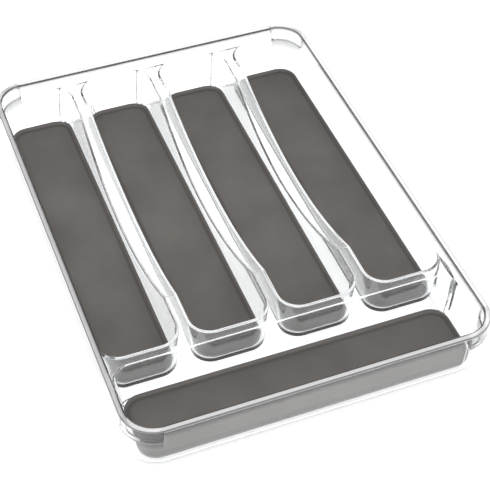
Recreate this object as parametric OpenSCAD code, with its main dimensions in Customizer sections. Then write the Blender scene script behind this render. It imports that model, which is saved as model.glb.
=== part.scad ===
// Clear moulded cutlery tray with four lanes, one cross compartment and soft-grip liners.
// Millimetres. X runs side to side, Y from front to back, Z up from the feet.
// The origin is under the middle of the tray, on the surface that it stands on.

/* [Overall size] */
// Width over the rim, side to side
tray_width = 237; // [210:1:280]
// Length over the rim, front to back
tray_length = 330; // [290:1:380]
// Height of the moulding, from its base to the top of the rim
tray_height = 40; // [36:1:55]
// Lean of every moulded wall from the vertical, in degrees
draft_angle = 5; // [3:0.5:7]

/* [Shell] */
// Thickness of the outer walls and of the ridge walls
wall = 1.8; // [1.2:0.1:2.4]
// Thickness of the compartment floors
floor_thickness = 2; // [1.6:0.1:3]
// Radius inside the tray where a wall meets a floor
foot_radius = 2.5; // [1.5:0.1:2.8]
// Radius of the outer edge round the base
base_radius = 5.5; // [3:0.1:6]

/* [Rim and corners] */
// Width of the flat rim, from the inner face to the outer edge
rim_width = 3.9; // [3.2:0.1:6]
// Thickness of the rim flange
rim_thickness = 2.2; // [1.6:0.1:3.2]
// Rounding of the rim's outer edges
rim_rounding = 0.8; // [0.3:0.1:0.8]
// Plan radius of the rim's inner corners
corner_radius = 18; // [16:0.5:24]
// Distance that each stacking corner reaches along the rim
corner_reach = 21; // [16:0.5:30]
// Depth of the stacking corners below the top of the rim
corner_depth = 12; // [9:0.5:14]
// Height of the ledge's plastic at the foot of a stacking corner
ledge_thickness = 1.8; // [1.2:0.1:3]

/* [Compartments] */
// Height of the ridge tops above the base
ridge_height = 31; // [26:0.5:34]
// Width of a lane divider across its flat top
divider_width = 9; // [7:0.5:14]
// Width of the cross ridge across its flat top
cross_ridge_width = 8; // [7:0.5:14]
// Front-to-back width of the cross compartment at its mouth
cross_width = 55.3; // [45:0.1:75]
// Plan radius of the compartment corners at the mouth
mouth_radius = 13.5; // [11:0.5:18]

/* [Finger scoops] */
// Depth of the scoop in each divider
scoop_depth = 20.5; // [10:0.5:22]
// Length of the scoop at the top of the divider
scoop_length = 186; // [120:1:190]
// Distance from the cross ridge to the start of the scoop
scoop_start = 36; // [20:1:50]

/* [Liners] */
// Thickness of a liner's flat middle
liner_thickness = 1.3; // [0.8:0.1:2]
// Height of a liner's raised edge above the floor
liner_edge_height = 2.8; // [2.4:0.1:4]
// Width of a liner's raised edge
liner_edge_width = 1.2; // [0.8:0.1:2.5]
// Plan radius of a liner's corners
liner_corner_radius = 12.2; // [10:0.1:16]
// Clearance between a liner and the ridges beside it
liner_gap = 0.4; // [0.2:0.05:1]
// Clearance between a liner and the tray's end walls
liner_setback = 2.6; // [0.3:0.1:5]

/* [Feet] */
// Diameter of a foot
foot_diameter = 12; // [8:0.5:16]
// Height of a foot below the base
foot_stand = 1; // [0.5:0.1:2]
// Depth of the socket that holds a foot
socket_depth = 0.8; // [0.4:0.1:1]
// Radial clearance of a foot in its socket
socket_gap = 0.1; // [0.05:0.05:0.3]
// Rounding of a foot's lower edge
foot_rounding = 0.4; // [0.2:0.1:0.5]
// Distance from the rim's outer edge to a foot's centre
foot_inset = 23; // [20:0.5:40]

/* [Hidden] */
$fn = 64;

clear_plastic = [0.86, 0.89, 0.9, 0.35];
grip_grey = [0.42, 0.4, 0.385];
foot_grey = [0.75, 0.76, 0.76];

// The moulding has four lanes, one liner node for each
lanes = 4;
// A cut reaches this far past the face that it opens
past = 1;
// Number of flats along a rounded edge
arc_steps = 4;
// Share of a block's width that each side reaches across
side_overlap = 0.6;

slope = tan(draft_angle);
skin = wall / cos(draft_angle);

// Heights
base_z = foot_stand;
floor_z = base_z + floor_thickness;
land_z = base_z + ridge_height;
rim_z = base_z + tray_height;
ledge_z = rim_z - corner_depth;
liner_top_z = floor_z + liner_edge_height;

// Half sizes of the rim's outer edge and of the inner faces where they meet the rim
rim_x = tray_width / 2;
rim_y = tray_length / 2;
inner_x = rim_x - rim_width;
inner_y = rim_y - rim_width;
rim_radius = corner_radius + rim_width;

// Half sizes of the inner faces at a height
function face_x(z) = inner_x - (rim_z - z) * slope;
function face_y(z) = inner_y - (rim_z - z) * slope;
function face_radius(z) = corner_radius - (rim_z - z) * slope;

// Compartment mouths, where the ridge tops lie
lane_width = (2 * face_x(land_z) - (lanes - 1) * divider_width) / lanes;
lane_pitch = lane_width + divider_width;
cross_back_y = cross_width - face_y(land_z);
lane_front_y = cross_back_y + cross_ridge_width;
function lane_x(i) = -face_x(land_z) + i * lane_pitch;

// The scoop is a cylinder across the dividers
scoop_radius = (pow(scoop_length / 2, 2) + pow(scoop_depth, 2)) / (2 * scoop_depth);
scoop_y = lane_front_y + scoop_start + scoop_length / 2;
scoop_z = land_z - scoop_depth + scoop_radius;

// Rounded to a thousandth of a millimetre, so that a block's sides and corners meet exactly
function snapped(values) = [for (value = values) round(1000 * value) / 1000];

// Points of an arc between two angles
function arc(centre, radius, from, to) =
    [for (k = [0 : arc_steps]) centre + radius * [cos(from + (to - from) * k / arc_steps),
                                                  sin(from + (to - from) * k / arc_steps)]];

// Section of a block's side, from inward of a corner's centre out to the corner's radius at the top,
// with a rounded foot and top edge
module side_section(radius, inward, low, high, lean, foot_r, top_r) {
    foot_x = radius - (high - low) * tan(lean);
    foot_centre = [foot_x - foot_r * tan(45 - lean / 2), low + foot_r];
    top_centre = [radius - top_r * tan(45 + lean / 2), high - top_r];
    foot_points = foot_r > 0 ? arc(foot_centre, foot_r, -90, -lean) : [[foot_x, low]];
    top_points = top_r > 0 ? arc(top_centre, top_r, -lean, 90) : [[radius, high]];
    points = concat([[-inward, low]], foot_points, top_points, [[-inward, high]]);
    polygon([for (point = points) snapped(point)]);
}

// Solid block with drafted sides and quarter-round corners. box is [x0, x1, y0, y1] at its top, and
// radii are those of the corners there: front left, front right, back right, back left
module block(box, radii, low, high, lean = draft_angle, foot_r = 0, top_r = 0) {
    b = snapped(box);
    r = snapped(radii);
    centres = [[b[0] + r[0], b[2] + r[0]],
               [b[1] - r[1], b[2] + r[1]],
               [b[1] - r[2], b[3] - r[2]],
               [b[0] + r[3], b[3] - r[3]]];
    for (k = [0 : 3]) {
        length = abs(centres[(k + 1) % 4][k % 2] - centres[k][k % 2]);
        across = k % 2 == 0 ? b[3] - b[2] : b[1] - b[0];
        translate([centres[k][0], centres[k][1], 0])
            rotate(90 * k) {
                // The side runs to the next corner and reaches in past the middle
                rotate([90, 0, 90])
                    linear_extrude(length)
                        mirror([1, 0])
                            side_section(r[k], side_overlap * across - r[k], low, high, lean, foot_r, top_r);
                rotate(180)
                    rotate_extrude(angle = 90)
                        side_section(r[k], 0, low, high, lean, foot_r, top_r);
            }
    }
}

function centred_box(half_x, half_y) = [-half_x, half_x, -half_y, half_y];
function grown(box, by) = [box[0] - by, box[1] + by, box[2] - by, box[3] + by];

function same(radius) = [radius, radius, radius, radius];

// Space inside the outer walls between two heights
module inside(low, high, foot_r = 0) {
    block(centred_box(face_x(high), face_y(high)), same(face_radius(high)), low, high, draft_angle, foot_r);
}

// Outlines of the compartments at their mouths, and the plan radii of their corners
function lane_box(i) = [lane_x(i), lane_x(i) + lane_width, lane_front_y, face_y(land_z)];
function lane_radii(i) = [
    mouth_radius,
    mouth_radius,
    i == lanes - 1 ? face_radius(land_z) : mouth_radius,
    i == 0 ? face_radius(land_z) : mouth_radius];
function cross_box() = [-face_x(land_z), face_x(land_z), -face_y(land_z), cross_back_y];
function cross_radii() = [face_radius(land_z), face_radius(land_z), mouth_radius, mouth_radius];

// The five compartments, grown sideways by a skin, from a height up to the ridge tops
module compartments(low, skin_by = 0, foot_r = 0) {
    for (i = [0 : lanes - 1])
        block(grown(lane_box(i), skin_by), lane_radii(i) + same(skin_by), low, land_z, draft_angle, foot_r);
    block(grown(cross_box(), skin_by), cross_radii() + same(skin_by), low, land_z, draft_angle, foot_r);
}

// Cylinder that cuts the finger scoops, across the dividers only
module scoop(radius) {
    reach = lane_x(lanes - 1) + lane_width / 2;
    translate([0, scoop_y, scoop_z])
        rotate([0, 90, 0]) cylinder(r = radius, h = 2 * reach, center = true, $fn = 180);
}

// The hollows under the ridges, one wall thinner than the ridges all round and open below
module ridge_hollows() {
    difference() {
        union() {
            inside(floor_z, land_z - wall, foot_radius);
            block(centred_box(face_x(floor_z) - foot_radius, face_y(floor_z) - foot_radius),
                  same(face_radius(floor_z) - foot_radius), base_z, floor_z + past, 0);
        }
        compartments(base_z, skin);
        scoop(scoop_radius + wall);
    }
}

// Four boxes that hold the stacking corners
module corner_zones() {
    for (sx = [-1, 1])
        for (sy = [-1, 1])
            translate([sx * (rim_x - corner_reach / 2 + past / 2), sy * (rim_y - corner_reach / 2 + past / 2), rim_z])
                cube([corner_reach + past, corner_reach + past, 2 * tray_height], center = true);
}

// The rim is a flat flange, and the stacking corners hang from it
module rim_and_corners() {
    block(centred_box(rim_x, rim_y), same(rim_radius), rim_z - rim_thickness, rim_z, 0, rim_rounding, rim_rounding);
    intersection() {
        block(centred_box(rim_x, rim_y), same(rim_radius), ledge_z, rim_z - rim_rounding, 0, rim_rounding);
        corner_zones();
    }
}

module corner_pockets() {
    intersection() {
        block(centred_box(inner_x, inner_y), same(corner_radius), ledge_z + ledge_thickness, rim_z + past, 0);
        corner_zones();
    }
}

module at_foot(side_x, side_y) {
    translate([side_x * (rim_x - foot_inset), side_y * (rim_y - foot_inset), 0]) children();
}

module tray_body() {
    color(clear_plastic)
    difference() {
        union() {
            block(centred_box(inner_x + skin, inner_y + skin), same(corner_radius + skin), base_z, rim_z,
                  draft_angle, base_radius);
            rim_and_corners();
        }
        compartments(floor_z, 0, foot_radius);
        inside(land_z, rim_z);
        corner_pockets();
        ridge_hollows();
        scoop(scoop_radius);
        for (sx = [-1, 1])
            for (sy = [-1, 1])
                at_foot(sx, sy)
                    translate([0, 0, base_z - past])
                        cylinder(r = foot_diameter / 2 + socket_gap, h = past + socket_depth);
    }
}

// A liner is a thin pad with a raised edge all round. box is its outline at the top of that edge
module liner(box) {
    color(grip_grey)
    difference() {
        block(box, same(liner_corner_radius), floor_z, liner_top_z, draft_angle, foot_radius);
        block(grown(box, -liner_edge_width), same(liner_corner_radius - liner_edge_width),
              floor_z + liner_thickness, liner_top_z);
    }
}

module lane_liner(number) {
    i = number - 1;
    foot_in = (land_z - liner_top_z) * slope + liner_gap;
    liner([lane_x(i) + foot_in,
           lane_x(i) + lane_width - foot_in,
           lane_front_y + foot_in,
           face_y(liner_top_z) - liner_setback]);
}

module cross_liner() {
    foot_in = (land_z - liner_top_z) * slope + liner_gap;
    liner([-face_x(liner_top_z) + liner_setback,
           face_x(liner_top_z) - liner_setback,
           -face_y(liner_top_z) + liner_setback,
           cross_back_y - foot_in]);
}

module foot(side_x, side_y) {
    color(foot_grey)
    at_foot(side_x, side_y)
        rotate_extrude()
            side_section(foot_diameter / 2, 0, 0, foot_stand + socket_depth, 0, foot_rounding, 0);
}

tray_body();
lane_liner(1);  // lane_liner_1
lane_liner(2);  // lane_liner_2
lane_liner(3);  // lane_liner_3
lane_liner(4);  // lane_liner_4
cross_liner();
foot(-1, -1);  // foot_front_left
foot(1, -1);  // foot_front_right
foot(-1, 1);  // foot_back_left
foot(1, 1);  // foot_back_right
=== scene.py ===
"""Looks of the clear cutlery tray: moulded shell, soft-grip liners, feet, light and camera."""

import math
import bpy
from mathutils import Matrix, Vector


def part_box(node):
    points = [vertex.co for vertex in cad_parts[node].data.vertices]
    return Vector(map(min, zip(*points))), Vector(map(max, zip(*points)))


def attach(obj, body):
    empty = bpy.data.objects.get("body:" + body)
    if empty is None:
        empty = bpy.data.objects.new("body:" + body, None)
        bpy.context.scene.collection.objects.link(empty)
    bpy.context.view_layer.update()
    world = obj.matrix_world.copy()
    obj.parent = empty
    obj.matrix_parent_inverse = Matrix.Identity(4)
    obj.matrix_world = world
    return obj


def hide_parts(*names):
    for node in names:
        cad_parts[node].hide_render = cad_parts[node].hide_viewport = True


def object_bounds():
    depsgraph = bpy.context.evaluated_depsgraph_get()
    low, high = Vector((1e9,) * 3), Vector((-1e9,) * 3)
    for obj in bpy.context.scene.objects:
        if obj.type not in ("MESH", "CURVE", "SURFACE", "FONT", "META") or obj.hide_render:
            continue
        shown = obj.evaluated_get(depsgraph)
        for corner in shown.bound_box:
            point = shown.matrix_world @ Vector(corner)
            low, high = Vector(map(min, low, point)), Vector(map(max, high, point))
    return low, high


bl_info = {
    "name": "Clear cutlery tray",
    "version": (1, 0, 0),
    "blender": (4, 5, 0),
    "location": "3D View > Sidebar > Tray",
    "description": "Builds the visible pieces of a clear moulded cutlery tray round its frame",
    "category": "Object",
}

import bmesh
import bpy
from mathutils import Vector

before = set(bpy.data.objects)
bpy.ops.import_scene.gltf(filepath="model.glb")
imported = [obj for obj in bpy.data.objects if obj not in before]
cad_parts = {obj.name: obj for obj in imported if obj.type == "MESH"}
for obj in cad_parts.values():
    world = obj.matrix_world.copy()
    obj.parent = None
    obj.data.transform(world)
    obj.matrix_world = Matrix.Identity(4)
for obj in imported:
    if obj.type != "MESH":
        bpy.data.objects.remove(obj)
cad_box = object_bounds()

BODY = "tray_body"
LANES = 4
LANE_LINERS = ["lane_liner_%d" % (i + 1) for i in range(LANES)]
CROSS_LINER = "cross_liner"
FEET = ["foot_front_left", "foot_front_right", "foot_back_left", "foot_back_right"]
body_low, body_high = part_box(BODY)

# Which output of a Mix node is its colour
MIXED_COLOUR = 2

# The camera that the photograph's straight edges fit, with its turn in degrees
CAMERA_PLACE = (-0.22271, -0.60406, 0.66287)
CAMERA_TURN = (44.028, -0.419, -21.026)
CAMERA_LENS = 99.51
CAMERA_SENSOR = 36.0

# Light runs along inside clear walls for many bounces
LIGHT_BOUNCES = 48


def size(name, about, default):
    """A length that the user can change."""
    return bpy.props.FloatProperty(name=name, description=about, default=default,
                                   min=0.0, precision=4, subtype="DISTANCE", unit="LENGTH")


def colour(name, about, default):
    """A colour that the user can change."""
    return bpy.props.FloatVectorProperty(name=name, description=about, default=default,
                                         size=3, min=0.0, max=1.0, subtype="COLOR")


class TraySizes(bpy.types.PropertyGroup):
    """Sizes of the shell and its liners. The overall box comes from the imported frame."""

    draft: bpy.props.FloatProperty(name="Draft", description="Lean of every moulded wall",
                                   default=math.radians(5.0), subtype="ANGLE", unit="ROTATION")
    wall: size("Wall", "Thickness of the outer and ridge walls", 0.0018)
    floor: size("Floor", "Thickness of the compartment floors", 0.002)
    foot_radius: size("Foot radius", "Radius where a wall meets a floor", 0.0025)
    base_radius: size("Base radius", "Radius of the outer edge round the base", 0.0055)
    lip_radius: size("Lip radius", "Rounding along the ridges' top edges", 0.0009)
    rim_width: size("Rim width", "Width of the flat rim", 0.0039)
    rim_thickness: size("Rim thickness", "Thickness of the rim flange", 0.0022)
    rim_rounding: size("Rim rounding", "Rounding of the rim's outer edges", 0.0008)
    rim_lip: size("Rim lip", "Rounding of the rim's inner edge", 0.0007)
    corner_radius: size("Corner radius", "Plan radius of the rim's inner corners", 0.018)
    corner_reach: size("Corner reach", "Reach of a stacking corner along the rim", 0.021)
    corner_depth: size("Corner depth", "Depth of a stacking corner", 0.012)
    ledge: size("Ledge", "Plastic at the foot of a stacking corner", 0.0018)
    ridge_height: size("Ridge height", "Height of the ridges above the base", 0.031)
    divider_width: size("Divider width", "Width of a divider's flat top", 0.009)
    cross_ridge_width: size("Cross ridge width", "Width of the cross ridge's flat top", 0.008)
    cross_width: size("Cross width", "Width of the cross compartment's mouth", 0.0553)
    mouth_radius: size("Mouth radius", "Plan radius of the compartments' corners", 0.0135)
    scoop_depth: size("Scoop depth", "Depth of the finger scoops", 0.0205)
    scoop_length: size("Scoop length", "Length of the finger scoops", 0.186)
    scoop_start: size("Scoop start", "Distance from the cross ridge to a scoop", 0.036)
    pad_thickness: size("Liner thickness", "Thickness of a liner's flat middle", 0.0013)
    pad_edge: size("Liner edge", "Width of a liner's raised edge", 0.0012)
    pad_radius: size("Liner corner radius", "Plan radius of a liner's corners", 0.0122)


class TrayColours(bpy.types.PropertyGroup):
    """Colours of the finishes."""

    plastic: colour("Plastic", "Tint of the clear plastic", (0.97, 0.98, 0.985))
    rim: colour("Rim", "Milky top of the rim", (0.86, 0.845, 0.85))
    # Painted shade: the dark tint that the shell's lines of painted shade mix into the plastic
    brink: colour("Edges", "Darker edges of the clear plastic", (0.03, 0.03, 0.03))
    liner: colour("Liner", "Soft-grip liner", (0.110, 0.101, 0.096))
    liner_worn: colour("Liner, lighter", "Lighter mottling of the liner", (0.156, 0.146, 0.136))
    foot: colour("Foot", "Rubber of the feet", (0.55, 0.56, 0.56))
    floor: colour("Floor", "Studio floor", (0.9, 0.9, 0.9))


class Sock:
    """A shader socket that takes part in Python arithmetic by adding Math nodes."""

    def __init__(self, shader, socket):
        self.shader, self.socket = shader, socket

    def _math(self, operation, *values):
        return self.shader.node("ShaderNodeMath", {"operation": operation},
                                dict(enumerate(values)))

    def __add__(self, other):
        return self._math("ADD", self, other)

    def __sub__(self, other):
        return self._math("SUBTRACT", self, other)

    def __rsub__(self, other):
        return self._math("SUBTRACT", other, self)

    def __mul__(self, other):
        return self._math("MULTIPLY", self, other)

    __radd__, __rmul__ = __add__, __mul__

    def maximum(self, other):
        return self._math("MAXIMUM", self, other)


class Shader:
    """A node tree being filled in. Every node comes from its one method."""

    def __init__(self, tree):
        self.tree = tree
        tree.nodes.clear()

    def node(self, kind, settings=None, inputs=None, output=0):
        """Adds a node, sets it, fills or links its inputs and returns one of its outputs."""
        made = self.tree.nodes.new(kind)
        for name, value in (settings or {}).items():
            if name == "stops":
                ramp = made.color_ramp
                while len(ramp.elements) < len(value):
                    ramp.elements.new(1.0)
                for element, (position, tone) in zip(ramp.elements, value):
                    element.position = position
                    element.color = (*tone, 1.0)
            else:
                setattr(made, name, value)
        for name, value in (inputs or {}).items():
            if isinstance(value, Sock):
                self.tree.links.new(value.socket, made.inputs[name])
            else:
                made.inputs[name].default_value = value
        return Sock(self, made.outputs[output]) if made.outputs else None

    def mix_colours(self, factor, first, second):
        """A mix of two colours, each a socket or three numbers."""
        first = first if isinstance(first, Sock) else (*first, 1.0)
        second = second if isinstance(second, Sock) else (*second, 1.0)
        return self.node("ShaderNodeMix", {"data_type": "RGBA"}, {0: factor, 6: first, 7: second},
                         MIXED_COLOUR)

    def noise(self, place, scale, detail, roughness=0.5):
        """Smooth noise, from 0 to 1, with scale waves or so to a metre."""
        return self.node("ShaderNodeTexNoise", {}, {
            "Vector": place, "Scale": scale, "Detail": detail, "Roughness": roughness})

    def painted(self, name):
        """A value that a piece's mesh holds at each vertex."""
        return self.node("ShaderNodeAttribute", {"attribute_name": name}, output="Fac")

    def ray(self, kind):
        """1 where the light path is of one kind, such as Camera or Shadow."""
        return self.node("ShaderNodeLightPath", output="Is %s Ray" % kind)


def material(name):
    """A new material and its empty shader, with the object's own coordinates."""
    made = bpy.data.materials.new(name)
    made.use_nodes = True
    shader = Shader(made.node_tree)
    place = shader.node("ShaderNodeTexCoord", output="Object")
    return made, shader, place


def clear_plastic(colours):
    """Clear plastic: glossy, with the faint flow waves of a large moulding."""
    frost_share = 0.72
    shadow_tint = (0.97, 0.975, 0.98, 1.0)
    made, shader, place = material("clear_plastic")
    waves = shader.noise(place, scale=38.0, detail=1.0)
    haze = shader.noise(place, scale=160.0, detail=3.0)
    bump = shader.node("ShaderNodeBump", {}, {
        "Strength": 0.05, "Distance": 0.001, "Height": waves})
    # Painted shade: a dark tint on the edges, under the rim and at the stacking corners
    brink = shader.painted("brink")
    clear = shader.node("ShaderNodeBsdfPrincipled", {}, {
        "Base Color": shader.mix_colours(brink, colours.plastic, colours.brink),
        "Roughness": haze * 0.03 + 0.005,
        "IOR": 1.5,
        "Transmission Weight": 1.0,
        "Normal": bump,
    })
    milky = shader.node("ShaderNodeBsdfPrincipled", {}, {
        "Base Color": shader.mix_colours(brink, colours.rim, colours.brink),
        "Roughness": haze * 0.1 + 0.3,
    })
    surface = shader.node("ShaderNodeMixShader", {}, {
        0: shader.painted("frost") * frost_share, 1: clear, 2: milky})
    lit_through = shader.node("ShaderNodeBsdfTransparent", {}, {"Color": shadow_tint})
    both = shader.node("ShaderNodeMixShader", {}, {
        0: shader.ray("Shadow"), 1: surface, 2: lit_through})
    shader.node("ShaderNodeOutputMaterial", {}, {"Surface": both})
    return made


def soft_grip(colours):
    """Matt soft-grip liner with a fine moulded grain and faint mottling."""
    made, shader, place = material("soft_grip")
    mottle = shader.noise(place, scale=24.0, detail=4.0, roughness=0.55)
    grain = shader.noise(place, scale=2600.0, detail=2.0, roughness=0.7)
    # The mottling is stretched over the two colours, with a little of the grain in it
    field = shader.mix_colours(mottle * 1.9 + grain * 0.2 - 0.6,
                               colours.liner, colours.liner_worn)
    # Above 0 the painted value is painted shade in the crook, below 0 painted light on the raised
    # edge
    crook = shader.painted("crook")
    # Lit and shaded copies of the liner's colour, for the painted light and painted shade
    light, dark = (tuple(tone * part for part in colours.liner) for tone in (1.6, 0.45))
    raised = shader.mix_colours(crook * -1.0, field, light)
    bump = shader.node("ShaderNodeBump", {}, {
        "Strength": 0.35, "Distance": 0.0003, "Height": grain})
    surface = shader.node("ShaderNodeBsdfPrincipled", {}, {
        "Base Color": shader.mix_colours(crook * 0.6, raised, dark),
        "Roughness": mottle * 0.12 + 0.62,
        "Specular IOR Level": 0.25,
        "Normal": bump,
    })
    shader.node("ShaderNodeOutputMaterial", {}, {"Surface": surface})
    return made


def foot_rubber(colours):
    """Pale matt rubber of the feet."""
    made, shader, place = material("foot_rubber")
    grain = shader.noise(place, scale=900.0, detail=3.0)
    bump = shader.node("ShaderNodeBump", {}, {
        "Strength": 0.2, "Distance": 0.0002, "Height": grain})
    dark = tuple(0.85 * part for part in colours.foot)
    surface = shader.node("ShaderNodeBsdfPrincipled", {}, {
        "Base Color": shader.mix_colours(grain, dark, colours.foot),
        "Roughness": grain * 0.2 + 0.45,
        "Normal": bump,
    })
    shader.node("ShaderNodeOutputMaterial", {}, {"Surface": surface})
    return made


def arc(centre, radius, start, end, steps):
    """Points (out, up) along an arc, with its angles in radians."""
    turns = [start + (end - start) * k / steps for k in range(steps + 1)]
    return [(centre[0] + radius * math.cos(a), centre[1] + radius * math.sin(a)) for a in turns]


def foot_fillet(out, up, radius, lean, steps):
    """Fillet where a leaning wall rises from a level surface that lies on its inner side."""
    tangent = radius * math.tan(math.pi / 4 - lean / 2)
    return arc((out - tangent, up + radius), radius, -math.pi / 2, -lean, steps)


def lip_fillet(out, up, radius, lean, steps):
    """Rounded edge where a leaning wall ends in a level surface that runs outward."""
    tangent = radius * math.tan(math.pi / 4 - lean / 2)
    return arc((out + tangent, up - radius), radius, math.pi - lean, math.pi / 2, steps)


def smooth(value):
    """Smooth step from 0 to 1."""
    value = min(max(value, 0.0), 1.0)
    return value * value * (3 - 2 * value)


def lerp(first, second, share):
    """The value at a share of the way from the first to the second."""
    return first + (second - first) * share


def spread(low, high, most):
    """Even places from low to high, no further apart than most."""
    steps = math.ceil((high - low) / most)
    return [lerp(low, high, k / steps) for k in range(steps + 1)]


class Column:
    """One section of the shell, taken outward from a compartment.

    mouth and out give the compartment's wall at ridge height and the way outward. target is where
    the section ends on a ridge's centre line, or where it meets the outer wall, whose inner edge at
    the rim is edge and whose way outward is away. pocket is true in a stacking corner, and gap is
    how far the section runs from mouth to target.
    """

    def __init__(self, mouth, out, target, edge=None, away=None, pocket=False):
        self.mouth, self.out, self.target = mouth, out, target
        self.edge, self.away, self.pocket = edge, away, pocket
        self.gap = (target - mouth).length


class Shell:
    """The moulded shell's plan and sections. Its lengths are in metres."""

    # Pieces of each fillet
    FOOT_STEPS = 5
    LIP_STEPS = 3
    BASE_STEPS = 6

    # The floor's outermost ring stops short of the foot of the wall
    FLOOR_INSET = 0.003
    # Most that a fillet takes of a ridge's half width, and most beside the outer wall
    FILLET_SHARE = 0.45
    CROOK_RADIUS = 0.003
    # Where a ridge runs out, the rows of its top spread over the wall, up and down by EASE_HEIGHT.
    # The ridge is whole from the half width EASE_GAP on
    EASE_HEIGHT = 0.0015
    EASE_GAP = 0.0012
    # Fillet between the rim's underside and the wall
    UNDER_RIM_RADIUS = 0.0006

    # Ends of the lines of painted shade, from the lip down and inward, from the rim's outer edge
    # down, and from the rim's underside down to where its band of painted shadow begins to fade and
    # on to its end
    BRINK_DROP = 0.0032
    BRINK_FADE = 0.0005
    FROST_FADE = 0.0004
    DIM_DROP = 0.004
    DIM_FADE = 0.006

    # The underside: its rows, where they start inside a mouth, and how far the flat base stays in
    UNDER_ROWS = 12
    UNDER_START = 0.008
    UNDER_INSET = 0.0039
    # Narrowest half ridge with a hollow, the bevel of the hollow's edges, and the point between
    # the hollow's outer wall and the base, as a share outward and a height
    HOLLOW_GAP = 0.0015
    BEVEL = 0.0003
    BEND_SHARE, BEND_HEIGHT = 0.6, 0.0028

    # Places of the sections from a corner's start to its diagonal
    ARC_SHARES = (0.0, 0.22, 0.42, 0.58, 0.7, 0.83, 1.0)
    # Pieces of a stacking corner, and half the turn in which its ends step out, in radians
    POCKET_STEPS = 10
    POCKET_EASE = 0.008
    # Most between straight sections, most along a scoop, half the step across a scoop's end, and
    # the least from a corner
    STEP = 0.012
    SCOOP_STEP = 0.007
    CREASE = 0.0007
    CLEAR = 2e-4

    def __init__(self, sizes):
        self.s = s = sizes
        self.slope = math.tan(s.draft)
        self.skin = s.wall / math.cos(s.draft)
        self.base_z, self.rim_z = body_low.z, body_high.z
        self.floor_z = self.base_z + s.floor
        self.land_z = self.base_z + s.ridge_height
        self.inner_x = body_high.x - s.rim_width
        self.inner_y = body_high.y - s.rim_width
        above_land = (self.rim_z - self.land_z) * self.slope
        self.face_x = self.inner_x - above_land
        self.face_y = self.inner_y - above_land
        self.face_radius = s.corner_radius - above_land
        self.lane_width = (2 * self.face_x - (LANES - 1) * s.divider_width) / LANES
        self.cross_back = s.cross_width - self.face_y
        self.lane_front = self.cross_back + s.cross_ridge_width
        self.ridge_y = (self.cross_back + self.lane_front) / 2
        self.scoop_radius = ((s.scoop_length / 2) ** 2 + s.scoop_depth ** 2) / (2 * s.scoop_depth)
        self.scoop_y = self.lane_front + s.scoop_start + s.scoop_length / 2
        self.scoop_z = self.land_z - s.scoop_depth + self.scoop_radius

        # Rows of a section with a rim, in the order of top_rows. After the floor's ring, its fillet
        # and the wall's middle comes the edge of the ridge's top, or of a stacking corner's shelf
        lip = self.LIP_STEPS + 1
        first = self.FOOT_STEPS + 3
        self.shelf_rows = range(first, first + lip)
        # After the fillet beside the outer wall and two rows of that wall comes the rim's inner lip
        first = self.shelf_rows.stop + lip + 2
        self.brink_rows = range(first, first + lip)
        # The rim's top goes on over its outer edge
        self.frost_rows = range(self.brink_rows.stop, self.brink_rows.stop + lip + 1)
        # After the row where it ends and the rim's lower edge come the fillet under the rim and the
        # row where the band of painted shadow under the rim begins to fade
        first = self.frost_rows.stop + 1 + lip
        self.dim_rows = range(first, first + lip + 1)

    def lane_box(self, number):
        """Left, right, front and back of a lane's mouth."""
        x = -self.face_x + number * (self.lane_width + self.s.divider_width)
        return (x, x + self.lane_width, self.lane_front, self.face_y)

    def divider_x(self, number):
        """Centre line of the divider on the right of a lane."""
        return self.lane_box(number)[1] + self.s.divider_width / 2

    def land(self, x, y):
        """Height of the ridges' tops, lower where a finger scoop crosses a divider."""
        along = abs(y - self.scoop_y)
        beside = abs(x) > self.divider_x(LANES - 2) + self.s.divider_width
        if beside or along >= self.s.scoop_length / 2:
            return self.land_z
        return self.scoop_z - math.sqrt(self.scoop_radius ** 2 - along ** 2)

    def wall(self, z):
        """How far out a compartment's wall lies at a height, from its place at ridge height."""
        return (z - self.land_z) * self.slope

    def face(self, z):
        """How far out the outer wall's inner face lies at a height, from its place at the rim."""
        return (z - self.rim_z) * self.slope

    def top_rows(self, column):
        """Points up the compartment's wall, over the ridge or rim, and down the outside."""
        s, rim_z = self.s, self.rim_z
        ridge = column.edge is None
        if column.pocket:
            height = rim_z - s.corner_depth + s.ledge
            gap = (rim_z - height) * self.slope
        else:
            height = self.land(*column.mouth) if ridge else self.land_z
            gap = column.gap

        def basin(pairs):
            return [Vector((*(column.mouth + column.out * d), z)) for d, z in pairs]

        rise = foot_fillet(self.wall(self.floor_z), self.floor_z, s.foot_radius, s.draft,
                           self.FOOT_STEPS)
        lip_radius = min(s.lip_radius, self.FILLET_SHARE * gap)
        lip = lip_fillet(self.wall(height), height, lip_radius, s.draft, self.LIP_STEPS)
        points = basin([(rise[0][0] - self.FLOOR_INSET, self.floor_z)] + rise)
        middle_z = (rise[-1][1] + height) / 2
        points += basin([(self.wall(middle_z), middle_z)])
        if ridge:
            points += basin(lip)
            return points + [Vector((*column.target, self.land(*column.target)))]

        def inner(z):
            return 0.0 if column.pocket else self.face(z)

        def outside(z):
            return self.face(z) + self.skin

        def outer(pairs):
            return [Vector((*(column.edge + column.away * e), z)) for e, z in pairs]

        lean = 0.0 if column.pocket else s.draft
        crook_radius = min(self.CROOK_RADIUS, self.FILLET_SHARE * gap)
        crook = foot_fillet(inner(height), height, crook_radius, lean, self.LIP_STEPS)
        turned = basin(lip) + outer(crook)
        real = 1.0 if column.pocket else smooth(gap / self.EASE_GAP)
        last = len(turned) - 1
        for k, point in enumerate(turned):
            z = height + (2 * k / last - 1) * self.EASE_HEIGHT
            straight = basin([(self.wall(z), z)])[0]
            turned[k] = straight.lerp(point, real)

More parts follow.
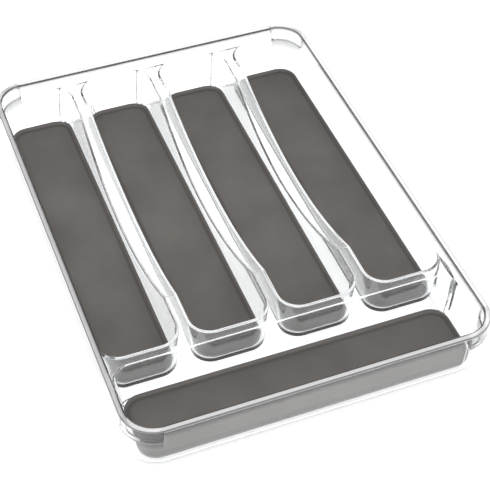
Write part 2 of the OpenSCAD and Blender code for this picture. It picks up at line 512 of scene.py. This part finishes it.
        under_z = rim_z - (s.corner_depth if column.pocket else s.rim_thickness)
        dim_z = under_z - self.DIM_DROP
        faded_z = dim_z - self.DIM_FADE
        low_z = (faded_z + self.base_z + s.base_radius) / 2
        r, out = s.rim_rounding, s.rim_width
        rim = [(inner(z), z) for z in ((height + rim_z) / 2, rim_z - s.rim_lip - self.BRINK_DROP)]
        rim += lip_fillet(0.0, rim_z, s.rim_lip, lean, self.LIP_STEPS)
        rim += [(rim[-1][0] + self.BRINK_FADE, rim_z)]
        rim += arc((out - r, rim_z - r), r, math.pi / 2, 0.0, self.LIP_STEPS)
        rim += [(out, rim_z - r - self.FROST_FADE)]
        rim += arc((out - r, under_z + r), r, 0.0, -math.pi / 2, self.LIP_STEPS)
        rim += lip_fillet(outside(under_z), under_z, self.UNDER_RIM_RADIUS, s.draft,
                          self.LIP_STEPS)[::-1]
        rim += [(outside(z), z) for z in (dim_z, faded_z, low_z)]
        rim += foot_fillet(outside(self.base_z), self.base_z, s.base_radius, s.draft,
                           self.BASE_STEPS)[::-1]
        return points + turned + outer(rim)

    def under_rows(self, column, last):
        """Points from under the floor up the ridge's hollow to its middle, or out to the base."""
        base_z, bevel = self.base_z, self.BEVEL
        start = column.mouth - column.out * self.UNDER_START
        base_in = (self.rim_z - base_z) * self.slope + self.UNDER_INSET
        open_side = column.edge is not None
        if open_side and column.gap < self.HOLLOW_GAP:
            end = column.edge - column.away * base_in
            flat = [start.lerp(end, k / (self.UNDER_ROWS - 1)) for k in range(self.UNDER_ROWS)]
            return [Vector((*p, base_z)) for p in flat] + [last]
        ceiling = self.land(*column.mouth) - self.s.wall
        middle_z = (base_z + ceiling) / 2
        base, middle, top = (self.wall(z) + self.skin for z in (base_z, middle_z, ceiling))
        pairs = [(base - bevel, base_z), (base, base_z + bevel), (middle, middle_z),
                 (top, ceiling - bevel), (top + bevel, ceiling)]
        points = [Vector((*start, base_z))]
        points += [Vector((*(column.mouth + column.out * d), z)) for d, z in pairs]
        if not open_side:
            return points + [Vector((*column.target, self.land(*column.target) - self.s.wall))]
        bend_z = base_z + self.s.base_radius
        top, bend = self.face(ceiling), self.face(bend_z)
        pairs = [(top - bevel, ceiling), (top, ceiling - bevel), (bend, bend_z),
                 (lerp(bend, -base_in, self.BEND_SHARE), base_z + self.BEND_HEIGHT),
                 (-base_in, base_z + bevel), (bevel - base_in, base_z)]
        points += [Vector((*(column.edge + column.away * e), z)) for e, z in pairs]
        return points + [last]

    def rim_corner(self, quarter, centre, radius):
        """Columns round a compartment's corner in a corner of the tray, with its shelf."""
        s = self.s
        start = math.pi / 2 * quarter
        step = math.asin((body_high.x - s.corner_reach - (self.inner_x - s.corner_radius))
                         / s.corner_radius)
        first = step + self.POCKET_EASE
        pocket_turns = [first + (math.pi / 2 - 2 * first) * k / self.POCKET_STEPS
                        for k in range(self.POCKET_STEPS + 1)]
        turns = [0.0, step - self.POCKET_EASE, *pocket_turns,
                 math.pi / 2 - step + self.POCKET_EASE, math.pi / 2]
        rim_centre = Vector((math.copysign(self.inner_x - s.corner_radius, centre.x),
                             math.copysign(self.inner_y - s.corner_radius, centre.y)))
        columns = []
        for turn in turns:
            out = Vector((math.cos(start + turn), math.sin(start + turn)))
            mouth = centre + out * radius
            edge = rim_centre + out * s.corner_radius
            columns.append(Column(mouth, out, mouth, edge, out, turn in pocket_turns))
        return columns

    def corner(self, quarter, centre, radius, bound_x, bound_y, wall_x, wall_y):
        """Columns round a compartment's corner, in turn from the angle 90 * quarter degrees.

        bound_x and bound_y are the lines that the corner's sections run out to, and wall_x and
        wall_y say which of them are outer walls.
        """
        if wall_x and wall_y:
            return self.rim_corner(quarter, centre, radius)
        start = math.pi / 2 * quarter
        reach_x, reach_y = abs(bound_x - centre.x), abs(bound_y - centre.y)
        split = math.atan2(reach_y, reach_x)
        # The angle is measured from the x axis in even quarters and from the y axis in odd ones
        even = quarter % 2 == 0
        split = split if even else math.pi / 2 - split
        last = len(self.ARC_SHARES) - 1
        turns = [split * share for share in self.ARC_SHARES]
        turns += [math.pi / 2 - (math.pi / 2 - split) * share for share in self.ARC_SHARES[-2::-1]]
        columns = []
        for k, turn in enumerate(turns):
            out = Vector((math.cos(start + turn), math.sin(start + turn)))
            to_x = k <= last if even else k >= last
            if k == last:
                target = Vector((bound_x, bound_y))
                to_x = wall_x or not wall_y
            elif to_x:
                target = Vector((bound_x, centre.y + out.y * abs(reach_x / out.x)))
            else:
                target = Vector((centre.x + out.x * abs(reach_y / out.y), bound_y))
            columns.append(self.column(centre + out * radius, out, target,
                                       wall_x and to_x, wall_y and not to_x))
        return columns

    def column(self, mouth, out, target, on_wall_x, on_wall_y):
        """A column that ends on a ridge, or on the outer wall beside or behind its compartment."""
        if on_wall_x:
            away = Vector((math.copysign(1.0, target.x), 0.0))
            return Column(mouth, out, target, Vector((away.x * self.inner_x, target.y)), away)
        if on_wall_y:
            away = Vector((0.0, math.copysign(1.0, target.y)))
            return Column(mouth, out, target, Vector((target.x, away.y * self.inner_y)), away)
        return Column(mouth, out, target)

    def cell(self, box, bounds, walls, stations):
        """Columns all round one compartment, counter-clockwise from its front left corner.

        bounds and walls go with left, right, front and back. stations holds the places of the
        straight columns along the front, right, back and left sides.
        """
        x0, x1, y0, y1 = box
        left, right, front, back = bounds
        wall_left, wall_right, wall_front, wall_back = walls
        corners = [(2, x0, y0, left, front, wall_left, wall_front),
                   (3, x1, y0, right, front, wall_right, wall_front),
                   (0, x1, y1, right, back, wall_right, wall_back),
                   (1, x0, y1, left, back, wall_left, wall_back)]
        sides = [(front, wall_front, True, y0), (right, wall_right, False, x1),
                 (back, wall_back, True, y1), (left, wall_left, False, x0)]
        ways = [Vector((0, -1)), Vector((1, 0)), Vector((0, 1)), Vector((-1, 0))]
        middle = Vector(((x0 + x1) / 2, (y0 + y1) / 2))

        def round_off(number):
            """A corner's radius and the centre that it turns about."""
            _, x, y, _, _, wall_x, wall_y = corners[number % 4]
            radius = self.face_radius if wall_x and wall_y else self.s.mouth_radius
            return radius, Vector((x + math.copysign(radius, middle.x - x),
                                   y + math.copysign(radius, middle.y - y)))

        columns = []
        for k in range(4):
            quarter, _, _, bound_x, bound_y, wall_x, wall_y = corners[k]
            radius, centre = round_off(k)
            columns += self.corner(quarter, centre, radius, bound_x, bound_y, wall_x, wall_y)
            bound, wall, level, line = sides[k]
            # Straight columns lie strictly between this corner's end and the next one's start
            axis = 0 if level else 1
            start, end = centre[axis], round_off(k + 1)[1][axis]
            low, high = min(start, end) + self.CLEAR, max(start, end) - self.CLEAR
            places = sorted((p for p in stations[k] if low < p < high), reverse=end < start)
            for place in places:
                mouth = Vector((place, line)) if level else Vector((line, place))
                target = Vector((place, bound)) if level else Vector((bound, place))
                columns.append(self.column(mouth, ways[k], target,
                                           wall and not level, wall and level))
        return columns

    def cells(self):
        """All five compartments' columns."""
        s = self.s
        scoop_front = self.scoop_y - s.scoop_length / 2
        scoop_back = self.scoop_y + s.scoop_length / 2
        along_y = spread(self.lane_front + s.mouth_radius, scoop_front - self.CREASE, self.STEP)
        along_y += spread(scoop_front + self.CREASE, scoop_back - self.CREASE, self.SCOOP_STEP)
        along_y += spread(scoop_back + self.CREASE, self.face_y - s.mouth_radius, self.STEP)
        found, ridge_places = [], set()
        near, digits = 1e-6, 7
        for i in range(LANES):
            box = self.lane_box(i)
            left = self.divider_x(i - 1) if i else -self.face_x
            right = self.divider_x(i) if i < LANES - 1 else self.face_x
            walls = (i == 0, i == LANES - 1, False, True)
            along_x = spread(box[0] + s.mouth_radius, box[1] - s.mouth_radius, self.STEP)
            columns = self.cell(box, (left, right, self.ridge_y, self.face_y), walls,
                                [along_x, along_y, along_x, along_y])
            found.append(columns)
            # The cross compartment's sections meet these on the cross ridge's centre line
            ridge_places |= {round(c.target.x, digits) for c in columns
                             if c.edge is None and abs(c.target.y - self.ridge_y) < near}
        inside = self.face_x - s.mouth_radius - self.CLEAR
        ridge_places = [p for p in ridge_places if abs(p) < inside]
        across = spread(-self.face_x, self.face_x, self.STEP)
        beside = spread(-self.face_y, self.cross_back, self.STEP)
        found.append(self.cell((-self.face_x, self.face_x, -self.face_y, self.cross_back),
                               (-self.face_x, self.face_x, -self.face_y, self.ridge_y),
                               (True, True, True, False), [across, beside, ridge_places, beside]))
        return found


def finish_mesh(name, made):
    """Welds a mesh under construction, shades it smooth and links it as an object."""
    # Above 50, a large face counts for more than a small one in the normals between them
    weld, large_faces = 1e-5, 80
    bmesh.ops.remove_doubles(made, verts=made.verts, dist=weld)
    bmesh.ops.dissolve_degenerate(made, edges=made.edges, dist=weld / 4)
    bmesh.ops.recalc_face_normals(made, faces=made.faces)
    mesh = bpy.data.meshes.new(name)
    made.to_mesh(mesh)
    made.free()
    mesh.shade_smooth()
    piece = bpy.data.objects.new(name, mesh)
    bpy.context.scene.collection.objects.link(piece)
    weighted = piece.modifiers.new("even_normals", "WEIGHTED_NORMAL")
    weighted.weight = large_faces
    return piece


def skin_columns(made, columns):
    """Fills the quads between columns of points all round, and returns the columns' vertices."""
    verts = [[made.verts.new(point) for point in column] for column in columns]
    for first, second in zip(verts, verts[1:] + verts[:1]):
        for j in range(min(len(first), len(second)) - 1):
            made.faces.new((first[j], first[j + 1], second[j + 1], second[j]))
    return verts


def close_loop(made, verts, row=0):
    """Fills the level middle inside one row of all columns."""
    made.faces.new([column[row] for column in verts])


def paint(verts, rows, layer, value):
    """Sets a painted value on some rows of one column's vertices."""
    for row in rows:
        verts[row][layer] = value


# Strengths of the shell's lines of painted shade, where 1 is darkest: the edge of a stacking
# corner's shelf, the outside of one in front, and the rim's top on the left and its outer edge all
# round
SHELF_LINE = 0.8
CORNER_FRONT = 0.7
RIM_LEFT = 0.35
RIM_EDGE = 0.75
# The band of painted shadow under the rim, and what it gains in front
BAND = 0.25
BAND_FRONT = 0.6


def build_shell(sizes):
    """The clear moulding, with the values that its finish reads.

    One value paints shade on the edges, under the rim and at the stacking corners, and frost is the
    rim's milky top.
    """
    shell = Shell(sizes)
    made = bmesh.new()
    brink = made.verts.layers.float.new("brink")
    frost = made.verts.layers.float.new("frost")
    for columns in shell.cells():
        tops = [shell.top_rows(column) for column in columns]
        verts = skin_columns(made, tops)
        close_loop(made, verts)
        pockets = [column.pocket for column in columns]
        for k, (column, line) in enumerate(zip(columns, verts)):
            if column.edge is None:
                continue
            left, front = max(0.0, -column.away.x), max(0.0, -column.away.y)
            if column.pocket:
                # A stacking corner's shelf is drawn by painted shade along its edge and the steps
                # at its ends
                among = pockets[k - 1] and pockets[(k + 1) % len(pockets)]
                stop = shell.shelf_rows.stop if among else shell.brink_rows.start
                paint(line, range(shell.shelf_rows.start, stop), brink, SHELF_LINE)
                paint(line, range(shell.frost_rows.stop, shell.dim_rows.start), brink,
                      CORNER_FRONT * front)
            # Painted shade on the rim's inner lip, its top on the left and its outer edge; painted
            # shadow under it
            paint(line, shell.brink_rows, brink, 1.0)
            paint(line, shell.frost_rows, frost, 1.0)
            paint(line, shell.frost_rows[:2], brink, RIM_LEFT * left)
            paint(line, shell.frost_rows[2:], brink, RIM_EDGE)
            paint(line, shell.dim_rows, brink, BAND + BAND_FRONT * front)
        unders = [shell.under_rows(column, top[-1]) for column, top in zip(columns, tops)]
        close_loop(made, skin_columns(made, unders))
    return finish_mesh("moulded_shell", made)


def rounded_loop(box, radius, grow, z):
    """Points of a rounded rectangle at one height, counter-clockwise, grown by an amount."""
    steps, least = 8, 1e-4
    x0, x1, y0, y1 = box[0] - grow, box[1] + grow, box[2] - grow, box[3] + grow
    r = max(radius + grow, least)
    points = []
    for cx, cy, start in ((x0 + r, y0 + r, 180), (x1 - r, y0 + r, 270),
                          (x1 - r, y1 - r, 0), (x0 + r, y1 - r, 90)):
        for k in range(steps + 1):
            a = math.radians(start + 90 * k / steps)
            points.append(Vector((cx + r * math.cos(a), cy + r * math.sin(a), z)))
    return points


def liner_profile(low_z, high_z, sizes):
    """A liner's section (out, up) from its underside over its edge, and where its dish begins."""
    steps, foot_inset = 5, 0.003
    roll, roll_turn = 0.35 * sizes.pad_edge, math.pi * 0.8
    dish_steps, dish_run, dish_roundness = 6, 0.0032, 0.8
    # A shallow groove runs round inside the dish, and the last pair is its flat middle
    groove = [(-0.0004, -0.00012), (-0.0009, -0.00015), (-0.0015, -0.0001), (-0.0022, 0.0),
              (-0.006, 0.0)]
    foot_out = (low_z - high_z) * math.tan(sizes.draft)
    profile = foot_fillet(foot_out, low_z, sizes.foot_radius, sizes.draft, steps)
    profile.insert(0, (profile[0][0] - foot_inset, low_z))
    profile += arc((-roll, high_z - roll), roll, 0.0, roll_turn, steps)
    dish_z = low_z + sizes.pad_thickness
    start_out, start_z = profile[-1]
    for k in range(1, dish_steps + 1):
        share = k / dish_steps
        turn = math.pi / 2 * share
        along = lerp(share, 1 - math.cos(turn), dish_roundness)
        profile.append((start_out - dish_run * along, lerp(start_z, dish_z, math.sin(turn))))
    edge = profile[-1][0]
    return profile + [(edge + d, dish_z + z) for d, z in groove], edge


# Painted shade runs as a dark line round a liner's dish, with painted light as a light line outside
# it. Each pair of values is for the front and for the back, which faces the light: the dark line's
# place from the dish's edge, and the strengths of the two lines
DISH_LINE = (0.0016, 0.0003)
DISH_DARK = (1.0, 0.8)
DISH_LIGHT = (0.6, 1.0)
DISH_LINE_HALF_WIDTH = 0.0018
# Where the line of painted light begins, from the middle of the painted shade, and how far it takes
# to come up
DISH_LIGHT_START = 0.0009
DISH_LIGHT_RUN = 0.0013


def build_liner(name, node, sizes):
    """A dished pad: turned-up soft edge, gentle slope and flat middle."""
    low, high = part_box(node)
    box = (low.x, high.x, low.y, high.y)
    profile, edge = liner_profile(low.z, high.z, sizes)
    made = bmesh.new()
    # Painted shade of the dark line less painted light of the light one, read by the finish
    crook = made.verts.layers.float.new("crook")
    loops = [rounded_loop(box, sizes.pad_radius, d, z) for d, z in profile]
    verts = skin_columns(made, zip(*loops))
    underside = 0.001
    for column in verts:
        for vert, (d, z) in zip(column, profile):
            if z > low.z + underside:
                back = smooth(1 - (high.y - vert.co.y) / sizes.pad_radius)
                line = edge + lerp(*DISH_LINE, back)
                dark = smooth(1 - abs(d - line) / DISH_LINE_HALF_WIDTH)
                light = smooth((d - line - DISH_LIGHT_START) / DISH_LIGHT_RUN)
                vert[crook] = lerp(*DISH_DARK, back) * dark - lerp(*DISH_LIGHT, back) * light
    close_loop(made, verts, 0)
    close_loop(made, verts, -1)
    return finish_mesh(name, made)


def build_foot(name, node):
    """A moulded foot: rounded disc with a shallow dimple in its tread."""
    low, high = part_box(node)
    centre = (low + high) / 2
    radius = (high.x - low.x) / 2
    turns, low_steps, high_steps, rounding = 40, 4, 3, 0.0004
    # Shares of the radius, in from the edge: the dimple's flat, its border and the top's middle
    flat, border, middle = 0.45, 0.3, 0.5
    flat_depth, border_depth = 0.00025, 0.00005
    profile = [(-radius * flat, low.z + flat_depth), (-radius * border, low.z + border_depth)]
    profile += foot_fillet(0.0, low.z, rounding, 0.0, low_steps)
    r = rounding / 2
    profile += arc((-r, high.z - r), r, 0.0, math.pi / 2, high_steps)
    profile += [(-radius * middle, high.z)]
    made = bmesh.new()
    columns = []
    for k in range(turns):
        a = math.tau * k / turns
        out = Vector((math.cos(a), math.sin(a), 0.0))
        columns.append([Vector((centre.x, centre.y, z)) + out * (radius + d) for d, z in profile])
    verts = skin_columns(made, columns)
    close_loop(made, verts, 0)
    close_loop(made, verts, -1)
    return finish_mesh(name, made)


def dress(piece, finish, slot, *nodes):
    """Gives a piece its finish, seats it on the frame and hides the nodes that it stands for."""
    piece.data.materials.append(finish)
    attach(piece, "root")
    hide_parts(*nodes)


def area_lamp(name, at, width, power):
    """A square softbox that faces the middle of the tray."""
    lamp = bpy.data.lights.new(name, "AREA")
    lamp.shape, lamp.size, lamp.energy = "SQUARE", width, power
    holder = bpy.data.objects.new(name, lamp)
    holder.location = at
    holder.rotation_euler = (Vector() - Vector(at)).to_track_quat("-Z", "Y").to_euler()
    bpy.context.scene.collection.objects.link(holder)


def studio_floor(colours):
    """White paper under the tray: it keeps the tray's shadow, and it glows where it is seen."""
    seen_glow, through_glow, mirrored_glow = 0.3, 0.2, 0.18
    made = bmesh.new()
    bmesh.ops.create_grid(made, x_segments=1, y_segments=1, size=3.0)
    mesh = bpy.data.meshes.new("studio_floor")
    made.to_mesh(mesh)
    made.free()
    floor = bpy.data.objects.new("studio_floor", mesh)
    floor.location.z = cad_box[0].z
    bpy.context.scene.collection.objects.link(floor)
    paper, shader, place = material("studio_paper")
    fibre = shader.noise(place, scale=300.0, detail=3.0)
    dark = tuple(0.985 * part for part in colours.floor)
    diffuse = shader.node("ShaderNodeBsdfDiffuse", {}, {
        "Color": shader.mix_colours(fibre, dark, colours.floor)})
    direct, mirrored, through = (shader.ray(kind) for kind in ("Camera", "Glossy", "Transmission"))
    seen = direct.maximum(mirrored).maximum(through)
    glow = shader.node("ShaderNodeEmission", {}, {
        "Color": (1, 1, 1, 1),
        "Strength": seen * seen_glow + through * through_glow + mirrored * mirrored_glow,
    })
    both = shader.node("ShaderNodeAddShader", {}, {0: diffuse, 1: glow})
    shader.node("ShaderNodeOutputMaterial", {}, {"Surface": both})
    floor.data.materials.append(paper)


def studio_room():
    """A bright room that is darker near the floor, and white behind the tray."""
    world = bpy.data.worlds.new("studio")
    world.use_nodes = True
    bpy.context.scene.world = world
    sky = Shader(world.node_tree)
    way = sky.node("ShaderNodeTexCoord", output="Generated")
    up = sky.node("ShaderNodeSeparateXYZ", {}, {0: way}, output="Z")
    stops = [(0.0, (0.35, 0.35, 0.355)), (0.22, (0.6, 0.6, 0.6)), (0.5, (0.97, 0.97, 0.97)),
             (1.0, (1, 1, 1))]
    room = sky.node("ShaderNodeValToRGB", {"stops": stops}, {0: up})
    tone = sky.mix_colours(sky.ray("Camera"), room, (1.0, 1.0, 1.0))
    back = sky.node("ShaderNodeBackground", {}, {"Color": tone, "Strength": 1.0})
    sky.node("ShaderNodeOutputWorld", {}, {"Surface": back})


def photo_camera():
    """The photograph's camera."""
    lens = bpy.data.cameras.new("photo_camera")
    lens.sensor_width = CAMERA_SENSOR
    lens.lens = CAMERA_LENS
    camera = bpy.data.objects.new("photo_camera", lens)
    camera.location = CAMERA_PLACE
    camera.rotation_euler = [math.radians(turn) for turn in CAMERA_TURN]
    bpy.context.scene.collection.objects.link(camera)
    bpy.context.scene.camera = camera


class TRAY_OT_stage(bpy.types.Operator):
    """Set up the white floor, the light and the camera"""

    bl_idname = "tray.stage"
    bl_label = "Stage"

    def execute(self, context):
        scene = context.scene
        studio_floor(scene.tray_colours)
        studio_room()
        area_lamp("top_softbox", at=(0.0, 0.1, 1.5), width=1.6, power=3.4)
        area_lamp("side_softbox", at=(-1.3, -0.5, 1.0), width=0.9, power=2.0)
        photo_camera()
        scene.view_settings.view_transform = "Standard"
        light = scene.cycles
        light.max_bounces = light.transmission_bounces = light.glossy_bounces = LIGHT_BOUNCES
        return {"FINISHED"}


class TRAY_OT_shell(bpy.types.Operator):
    """Build the clear moulded shell"""

    bl_idname = "tray.shell"
    bl_label = "Moulded shell"

    def execute(self, context):
        scene = context.scene
        finish = clear_plastic(scene.tray_colours)
        dress(build_shell(scene.tray_sizes), finish, "clear_moulding", BODY)
        return {"FINISHED"}


class TRAY_OT_liners(bpy.types.Operator):
    """Build the five soft-grip liners"""

    bl_idname = "tray.liners"
    bl_label = "Liners"

    def execute(self, context):
        scene = context.scene
        finish = soft_grip(scene.tray_colours)
        for node in LANE_LINERS + [CROSS_LINER]:
            pad = build_liner(node + "_pad", node, scene.tray_sizes)
            dress(pad, finish, "grip_liner", node)
        return {"FINISHED"}


class TRAY_OT_feet(bpy.types.Operator):
    """Build the four feet"""

    bl_idname = "tray.feet"
    bl_label = "Feet"

    def execute(self, context):
        finish = foot_rubber(context.scene.tray_colours)
        for node in FEET:
            dress(build_foot(node + "_tread", node), finish, "foot_rubber", node)
        return {"FINISHED"}


class TRAY_PT_panel(bpy.types.Panel):
    """Buttons for the tray's pieces, and its sizes and colours"""

    bl_label = "Cutlery tray"
    bl_idname = "TRAY_PT_panel"
    bl_space_type = "VIEW_3D"
    bl_region_type = "UI"
    bl_category = "Tray"

    def draw(self, context):
        for step in STEPS:
            self.layout.operator(step.bl_idname)
        for group in (context.scene.tray_sizes, context.scene.tray_colours):
            box = self.layout.box()
            for name in group.__annotations__:
                box.prop(group, name)


STEPS = (TRAY_OT_stage, TRAY_OT_shell, TRAY_OT_liners, TRAY_OT_feet)
CLASSES = (TraySizes, TrayColours, *STEPS, TRAY_PT_panel)


def register():
    for made in CLASSES:
        bpy.utils.register_class(made)
    bpy.types.Scene.tray_sizes = bpy.props.PointerProperty(type=TraySizes)
    bpy.types.Scene.tray_colours = bpy.props.PointerProperty(type=TrayColours)


def unregister():
    del bpy.types.Scene.tray_colours
    del bpy.types.Scene.tray_sizes
    for made in reversed(CLASSES):
        bpy.utils.unregister_class(made)


def main():
    register()
    bpy.ops.tray.stage()
    bpy.ops.tray.shell()
    bpy.ops.tray.liners()
    bpy.ops.tray.feet()


if __name__ == "__main__":
    main()
